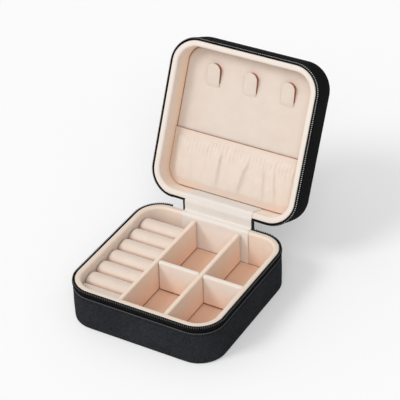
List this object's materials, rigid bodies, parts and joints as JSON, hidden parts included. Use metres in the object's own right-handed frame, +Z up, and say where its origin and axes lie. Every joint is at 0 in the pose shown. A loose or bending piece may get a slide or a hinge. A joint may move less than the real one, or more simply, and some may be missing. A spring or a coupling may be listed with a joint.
{
  "type": "travel jewelry case",
  "caption": "Square zipped travel jewelry case with a velvet interior of ring rolls and compartments, and a lid with hooks and a gathered pocket.",
  "frame": {"origin": "centre of the flat underside of the base", "axes": "+X to the right along the front, +Y to the back where the lid is hinged, +Z up"},
  "size_m": [0.101, 0.1579, 0.125],
  "materials": {
    "cover_leather": "fine pebble grain, black, satin",
    "spine_leather": "fine pebble grain, black, satin",
    "velvet_lining": "short velvet pile, cream beige",
    "velvet_pad": "short velvet pile over foam, cream beige",
    "pocket_fabric": "gathered velvet, cream beige",
    "board": "greyboard, hidden",
    "zip_tape": "black woven polyester tape",
    "zip_coil": "black moulded coil with a slight shine",
    "zip_metal": "black enamelled zinc"
  },
  "bodies": {
    "base": {"base_cover": "cover_leather", "base_shell": "board", "base_lining": "velvet_lining", "base_zip_tape": "zip_tape", "base_zip_coil": "zip_coil", "base_spine_tab": "spine_leather", "spine_strip": "spine_leather", "floor_pad": "velvet_pad", "hinge_strip_base": "velvet_lining", "ring_divider": "velvet_pad", "ring_bed": "velvet_pad", "ring_roll_1": "velvet_pad", "ring_roll_2": "velvet_pad", "ring_roll_3": "velvet_pad", "ring_roll_4": "velvet_pad", "ring_roll_5": "velvet_pad", "ring_roll_6": "velvet_pad", "ring_roll_7": "velvet_pad", "zip_tail_tape": "zip_tape", "zip_tail_coil": "zip_coil"},
    "lid": {"lid_cover": "cover_leather", "lid_shell": "board", "lid_lining": "velvet_lining", "lid_zip_tape": "zip_tape", "lid_zip_coil": "zip_coil", "lid_spine_tab": "spine_leather", "lid_panel": "velvet_pad", "hinge_strip_lid": "velvet_lining", "hook_left": "velvet_pad", "hook_middle": "velvet_pad", "hook_right": "velvet_pad", "pocket": "pocket_fabric", "pocket_elastic": "pocket_fabric"},
    "dividers": {"cross_divider": "velvet_pad", "middle_divider": "velvet_pad"},
    "slider": {"zip_slider": "zip_metal"},
    "pull": {"zip_pull": "zip_metal"}
  },
  "joints": [
    {"name": "lid_hinge", "type": "hinge", "parent": "base", "child": "lid", "pos_m": [0, 0.05131, 0.03098], "axis": [1, 0, 0], "range_deg": [0, 114.3], "deforming": ["spine_strip"]},
    {"name": "divider_lift", "type": "slide", "parent": "base", "child": "dividers", "axis": [0, 0, 1], "range_m": [0, 0.012]},
    {"name": "slider_travel", "type": "slide", "parent": "base", "child": "slider", "axis": [-1, 0, 0], "range_m": [-0.002, 0.011]},
    {"name": "pull_swing", "type": "hinge", "parent": "slider", "child": "pull", "pos_m": [0.0185, 0.0542, 0.0155], "axis": [0, 0, -1], "range_deg": [0, 172]}
  ]
}
